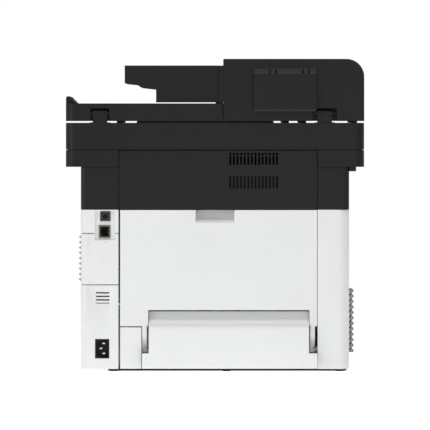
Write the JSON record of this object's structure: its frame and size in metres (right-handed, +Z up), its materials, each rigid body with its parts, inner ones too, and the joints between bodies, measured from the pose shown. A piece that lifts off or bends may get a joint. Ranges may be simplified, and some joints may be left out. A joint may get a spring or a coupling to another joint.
{
  "type": "photocopier",
  "caption": "Desktop laser photocopier with a document feeder, a paper cassette, a flatbed scanner and opening front and rear covers.",
  "frame": {"origin": "on the floor under the middle of the machine", "axes": "+Z up, +Y towards the rear with the sockets, +X to the right seen from the front"},
  "size_m": [0.417, 0.412, 0.4367],
  "materials": {
    "white_plastic": "fine texture",
    "black_plastic": "fine texture",
    "grey_plastic": "satin",
    "steel": "zinc plated",
    "rubber": "matt",
    "glass": "clear",
    "pad_white": "soft sheet",
    "board_green": "lacquered",
    "drum_blue": "gloss coating",
    "roller_coating": "smooth",
    "key_green": "satin",
    "key_orange": "satin",
    "screen": "gloss"
  },
  "bodies": {
    "printer_body": {"base_frame": "black_plastic", "rubber_feet": "rubber", "frame_right": "steel", "frame_left": "steel", "frame_shelves": "steel", "right_cover_lower": "white_plastic", "right_cover_middle": "white_plastic", "right_cover_upper": "white_plastic", "right_grille": "grey_plastic", "left_cover": "white_plastic", "left_grille": "grey_plastic", "corner_cover": "white_plastic", "interface_plate": "white_plastic", "usb_port": "black_plastic", "lan_port": "black_plastic", "main_board": "board_green", "power_inlet": "black_plastic", "inlet_pins": "steel", "power_supply": "steel", "upper_housing_right": "black_plastic", "upper_housing_left": "black_plastic", "rear_upper_panel": "black_plastic", "output_tray": "black_plastic", "scanner_lower": "black_plastic", "scanner_upper": "black_plastic", "scanner_glass": "glass", "carriage_rail": "steel", "control_panel": "black_plastic", "touch_screen": "screen", "toner_container": "black_plastic", "laser_unit": "grey_plastic", "fuser": "black_plastic", "cooling_fan": "black_plastic"},
    "rear_cover": {"rear_cover": "white_plastic"},
    "lower_rear_cover": {"lower_rear_cover": "white_plastic"},
    "hinge_posts": {"hinge_posts": "black_plastic"},
    "feeder": {"feeder_base": "black_plastic", "platen_pad": "pad_white", "feeder_rear_cover": "black_plastic", "feeder_front_cover": "black_plastic"},
    "feeder_top_cover": {"feeder_top_cover": "black_plastic"},
    "document_tray": {"document_tray": "black_plastic"},
    "rear_guide": {"rear_guide": "grey_plastic"},
    "front_guide": {"front_guide": "grey_plastic"},
    "feed_roller": {"feed_roller": "rubber"},
    "eject_rollers": {"eject_rollers": "rubber"},
    "scan_carriage": {"scan_carriage": "black_plastic"},
    "start_key": {"start_key": "key_green"},
    "stop_key": {"stop_key": "key_orange"},
    "power_rocker": {"power_rocker": "rubber"},
    "front_cover": {"front_cover": "white_plastic"},
    "mp_tray": {"mp_tray": "white_plastic"},
    "mp_extension": {"mp_extension": "grey_plastic"},
    "cassette": {"cassette": "white_plastic"},
    "lift_plate": {"lift_plate": "steel"},
    "pickup_roller": {"pickup_roller": "rubber"},
    "drum": {"drum": "drum_blue"},
    "transfer_roller": {"transfer_roller": "rubber"},
    "heat_roller": {"heat_roller": "roller_coating"},
    "fan_rotor": {"fan_rotor": "black_plastic"}
  },
  "joints": [
    {"name": "rear_cover_hinge", "type": "hinge", "parent": "printer_body", "child": "rear_cover", "pos_m": [0, 0.18, 0.031], "axis": [-1, 0, 0], "range_deg": [0, 60]},
    {"name": "lower_rear_cover_hinge", "type": "hinge", "parent": "printer_body", "child": "lower_rear_cover", "pos_m": [0, 0.19, 0.008], "axis": [-1, 0, 0], "range_deg": [0, 13]},
    {"name": "book_lift", "type": "slide", "parent": "printer_body", "child": "hinge_posts", "axis": [0, 0, 1], "range_m": [0, 0.02]},
    {"name": "feeder_hinge", "type": "hinge", "parent": "hinge_posts", "child": "feeder", "pos_m": [0, 0.192, 0.3611], "axis": [-1, 0, 0], "range_deg": [0, 60]},
    {"name": "feeder_top_cover_hinge", "type": "hinge", "parent": "feeder", "child": "feeder_top_cover", "pos_m": [-0.201, 0, 0.3805], "axis": [0, -1, 0], "range_deg": [0, 70]},
    {"name": "document_tray_hinge", "type": "hinge", "parent": "feeder", "child": "document_tray", "pos_m": [-0.006, 0, 0.4207], "axis": [0, -1, 0], "range_deg": [0, 25]},
    {"name": "rear_guide_slide", "type": "slide", "parent": "document_tray", "child": "rear_guide", "axis": [0, -1, 0], "range_m": [0, 0.05]},
    {"name": "front_guide_slide", "type": "slide", "parent": "document_tray", "child": "front_guide", "axis": [0, 1, 0], "range_m": [0, 0.05]},
    {"name": "feed_roller_spin", "type": "hinge", "parent": "feeder", "child": "feed_roller", "pos_m": [-0.0718, 0, 0.3965], "axis": [0, 1, 0], "continuous": true},
    {"name": "eject_roller_spin", "type": "hinge", "parent": "printer_body", "child": "eject_rollers", "pos_m": [0, 0.116, 0.2579], "axis": [1, 0, 0], "continuous": true},
    {"name": "carriage_slide", "type": "slide", "parent": "printer_body", "child": "scan_carriage", "axis": [1, 0, 0], "range_m": [0, 0.345]},
    {"name": "start_key_press", "type": "slide", "parent": "printer_body", "child": "start_key", "axis": [0, 0.7071, -0.7071], "range_m": [0, 0.001], "stiffness_N_per_m": 500, "springref_m": -0.0005},
    {"name": "stop_key_press", "type": "slide", "parent": "printer_body", "child": "stop_key", "axis": [0, 0.7071, -0.7071], "range_m": [0, 0.001], "stiffness_N_per_m": 500, "springref_m": -0.0005},
    {"name": "power_rocker_tip", "type": "hinge", "parent": "printer_body", "child": "power_rocker", "pos_m": [0.1795, 0, 0.0614], "axis": [0, 1, 0], "range_deg": [0, 16]},
    {"name": "front_cover_hinge", "type": "hinge", "parent": "printer_body", "child": "front_cover", "pos_m": [0, -0.181, 0.097], "axis": [1, 0, 0], "range_deg": [0, 90]},
    {"name": "mp_tray_hinge", "type": "hinge", "parent": "front_cover", "child": "mp_tray", "pos_m": [0, -0.1865, 0.1244], "axis": [-1, 0, 0], "range_deg": [-75, 0]},
    {"name": "mp_extension_slide", "type": "slide", "parent": "mp_tray", "child": "mp_extension", "axis": [0, 0, -1], "range_m": [-0.032, 0]},
    {"name": "cassette_slide", "type": "slide", "parent": "printer_body", "child": "cassette", "axis": [0, -1, 0], "range_m": [0, 0.25]},
    {"name": "lift_plate_hinge", "type": "hinge", "parent": "cassette", "child": "lift_plate", "pos_m": [0, -0.06, 0.0137], "axis": [-1, 0, 0], "range_deg": [0, 18]},
    {"name": "pickup_roller_spin", "type": "hinge", "parent": "printer_body", "child": "pickup_roller", "pos_m": [0, -0.13, 0.076], "axis": [1, 0, 0], "continuous": true},
    {"name": "drum_spin", "type": "hinge", "parent": "printer_body", "child": "drum", "pos_m": [0, 0.072, 0.135], "axis": [1, 0, 0], "continuous": true},
    {"name": "transfer_roller_spin", "type": "hinge", "parent": "printer_body", "child": "transfer_roller", "pos_m": [0, 0.0955, 0.135], "axis": [1, 0, 0], "continuous": true},
    {"name": "heat_roller_spin", "type": "hinge", "parent": "printer_body", "child": "heat_roller", "pos_m": [0, 0.128, 0.188], "axis": [1, 0, 0], "continuous": true},
    {"name": "fan_spin", "type": "hinge", "parent": "printer_body", "child": "fan_rotor", "pos_m": [-0.1832, 0.093, 0.0694], "axis": [1, 0, 0], "continuous": true}
  ],
  "couplings": [
    {"joint": "front_guide_slide", "follows": "rear_guide_slide", "ratio": 1},
    {"joint": "transfer_roller_spin", "follows": "drum_spin", "ratio": -2}
  ]
}
